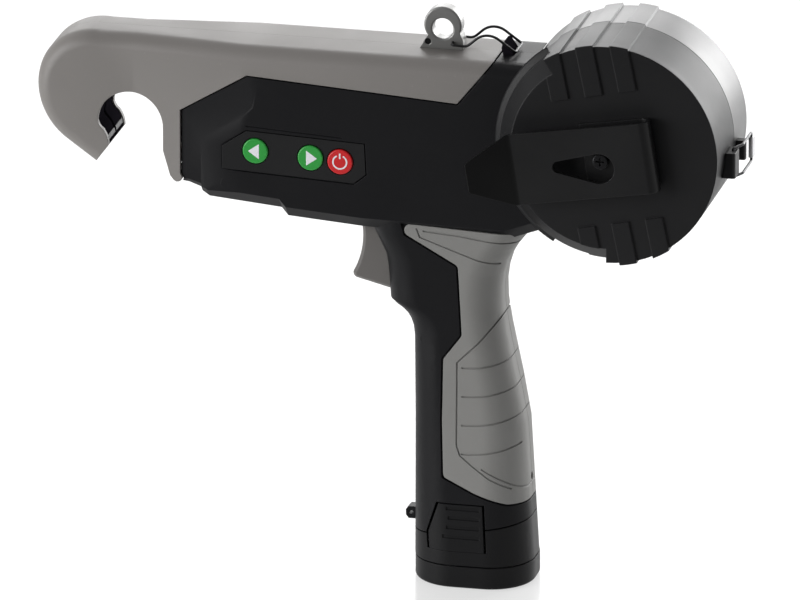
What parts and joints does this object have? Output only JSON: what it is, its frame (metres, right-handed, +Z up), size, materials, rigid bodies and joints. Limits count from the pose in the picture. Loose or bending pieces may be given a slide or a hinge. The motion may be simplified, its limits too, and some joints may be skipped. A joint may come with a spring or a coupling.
{
  "type": "electric vine tying tool",
  "caption": "Pistol-shaped battery tool that loops and twists wire round vine shoots: hooked jaw, wire drum, trigger, button panel and plug-in battery foot.",
  "frame": {"origin": "middle of the flat underside of the battery, which the tool stands on", "axes": "+X from the hooked jaw towards the wire drum, +Y from the button side to the plain side, +Z up"},
  "size_m": [0.3467, 0.0872, 0.2861],
  "materials": {
    "grey_plastic": "fine spark texture, satin",
    "soft_grip": "soft matt overmould",
    "black_plastic": "fine spark texture, satin",
    "black_sheet_steel": "satin black paint",
    "spring_wire": "dark oiled spring wire",
    "screw_steel": "blackened",
    "bright_steel": "machined",
    "gear_plastic": "natural moulding",
    "bush_bronze": "sintered",
    "tie_wire": "coated tie wire",
    "circuit_board": "lacquered",
    "green_button": "satin keycap",
    "red_button": "satin keycap",
    "cell_wrap": "shrink wrap",
    "contact_brass": "plated"
  },
  "bodies": {
    "housing": {"left_body_shell": "black_plastic", "right_body_shell": "black_plastic", "left_grip_cover": "soft_grip", "right_grip_cover": "soft_grip", "housing_screws": "screw_steel", "control_panel": "black_plastic", "control_board": "circuit_board", "main_board": "circuit_board", "drum_base": "black_plastic", "spool_axle": "bright_steel", "belt_clip": "black_sheet_steel", "belt_clip_screw": "screw_steel", "rear_bracket": "black_plastic", "top_catch": "black_plastic", "hood_hinge_pin": "bright_steel", "strap_lug": "black_plastic", "trigger_switch": "black_plastic", "mechanism_frame": "bright_steel", "frame_screws": "screw_steel", "feed_motor": "bright_steel", "idler_axle": "bright_steel", "wire_guides": "bright_steel", "twist_motor": "bright_steel", "twist_gearbox": "gear_plastic", "spindle_bush": "bush_bronze", "battery_socket": "black_plastic"},
    "hood": {"left_hood_shell": "grey_plastic", "right_hood_shell": "grey_plastic", "hood_screws": "screw_steel", "jaw_guide": "black_plastic", "cutting_strip": "bright_steel", "hanging_eye": "grey_plastic"},
    "top_bail": {"top_bail": "spring_wire"},
    "trigger": {"trigger": "grey_plastic"},
    "feed_back_button": {"feed_back_button": "green_button"},
    "feed_forward_button": {"feed_forward_button": "green_button"},
    "power_button": {"power_button": "red_button"},
    "drum_cover": {"drum_cover": "black_plastic", "rear_catch": "black_plastic"},
    "rear_bail": {"rear_bail": "spring_wire", "rear_bail_tab": "black_plastic"},
    "spool": {"wire_spool": "gear_plastic", "wire_winding": "tie_wire"},
    "feed_train": {"feed_shaft": "bright_steel", "drive_roller": "bright_steel", "feed_gear": "gear_plastic"},
    "feed_pinion": {"feed_pinion": "gear_plastic"},
    "idler": {"idler_roller": "bright_steel"},
    "twist_spindle": {"twist_spindle": "bright_steel"},
    "battery": {"battery_case": "black_plastic", "battery_foot_cap": "black_plastic", "battery_cells": "cell_wrap", "battery_terminals": "contact_brass"},
    "battery_latch_left": {"battery_latch_left": "black_plastic"},
    "battery_latch_right": {"battery_latch_right": "black_plastic"}
  },
  "joints": [
    {"name": "hood_open", "type": "hinge", "parent": "housing", "child": "hood", "pos_m": [-0.1441, 0, 0.1964], "axis": [0, -1, 0], "range_deg": [0, 45]},
    {"name": "top_bail_lift", "type": "hinge", "parent": "hood", "child": "top_bail", "pos_m": [-0.0118, 0, 0.2686], "axis": [0, -1, 0], "range_deg": [0, 100]},
    {"name": "trigger_pull", "type": "slide", "parent": "housing", "child": "trigger", "axis": [1, 0, 0], "range_m": [0, 0.006], "stiffness_N_per_m": 600, "springref_m": -0.004},
    {"name": "feed_back_press", "type": "slide", "parent": "housing", "child": "feed_back_button", "axis": [0, 1, 0], "range_m": [0, 0.0008], "stiffness_N_per_m": 1500, "springref_m": -0.0006},
    {"name": "feed_forward_press", "type": "slide", "parent": "housing", "child": "feed_forward_button", "axis": [0, 1, 0], "range_m": [0, 0.0008], "stiffness_N_per_m": 1500, "springref_m": -0.0006},
    {"name": "power_press", "type": "slide", "parent": "housing", "child": "power_button", "axis": [0, 1, 0], "range_m": [0, 0.0008], "stiffness_N_per_m": 1500, "springref_m": -0.0006},
    {"name": "drum_cover_off", "type": "slide", "parent": "housing", "child": "drum_cover", "axis": [0, 1, 0], "range_m": [0, 0.06]},
    {"name": "rear_bail_swing", "type": "hinge", "parent": "housing", "child": "rear_bail", "pos_m": [0.1276, -0.0145, 0.22175], "axis": [0, 0, -1], "range_deg": [0, 120]},
    {"name": "spool_turn", "type": "hinge", "parent": "housing", "child": "spool", "pos_m": [0.071, 0, 0.229], "axis": [0, 1, 0], "continuous": true},
    {"name": "feed_turn", "type": "hinge", "parent": "housing", "child": "feed_train", "pos_m": [-0.022, 0, 0.235], "axis": [0, 1, 0], "continuous": true},
    {"name": "pinion_turn", "type": "hinge", "parent": "housing", "child": "feed_pinion", "pos_m": [-0.01, 0, 0.21872], "axis": [0, 1, 0], "continuous": true},
    {"name": "idler_turn", "type": "hinge", "parent": "housing", "child": "idler", "pos_m": [-0.022, 0, 0.2495], "axis": [0, 1, 0], "continuous": true},
    {"name": "twist_turn", "type": "hinge", "parent": "housing", "child": "twist_spindle", "pos_m": [-0.12, 0, 0.212], "axis": [1, 0, 0], "continuous": true},
    {"name": "battery_out", "type": "slide", "parent": "housing", "child": "battery", "axis": [0, 0, -1], "range_m": [0, 0.1]},
    {"name": "latch_left_press", "type": "hinge", "parent": "battery", "child": "battery_latch_left", "pos_m": [-0.005, -0.02, 0.0186], "axis": [-1, 0, 0], "range_deg": [0, 4], "stiffness_Nm_per_rad": 1.5, "springref_deg": -1.15},
    {"name": "latch_right_press", "type": "hinge", "parent": "battery", "child": "battery_latch_right", "pos_m": [-0.005, 0.02, 0.0186], "axis": [1, 0, 0], "range_deg": [0, 4], "stiffness_Nm_per_rad": 1.5, "springref_deg": -1.15}
  ],
  "couplings": [
    {"joint": "pinion_turn", "follows": "feed_turn", "ratio": -3},
    {"joint": "idler_turn", "follows": "feed_turn", "ratio": -1.25}
  ]
}
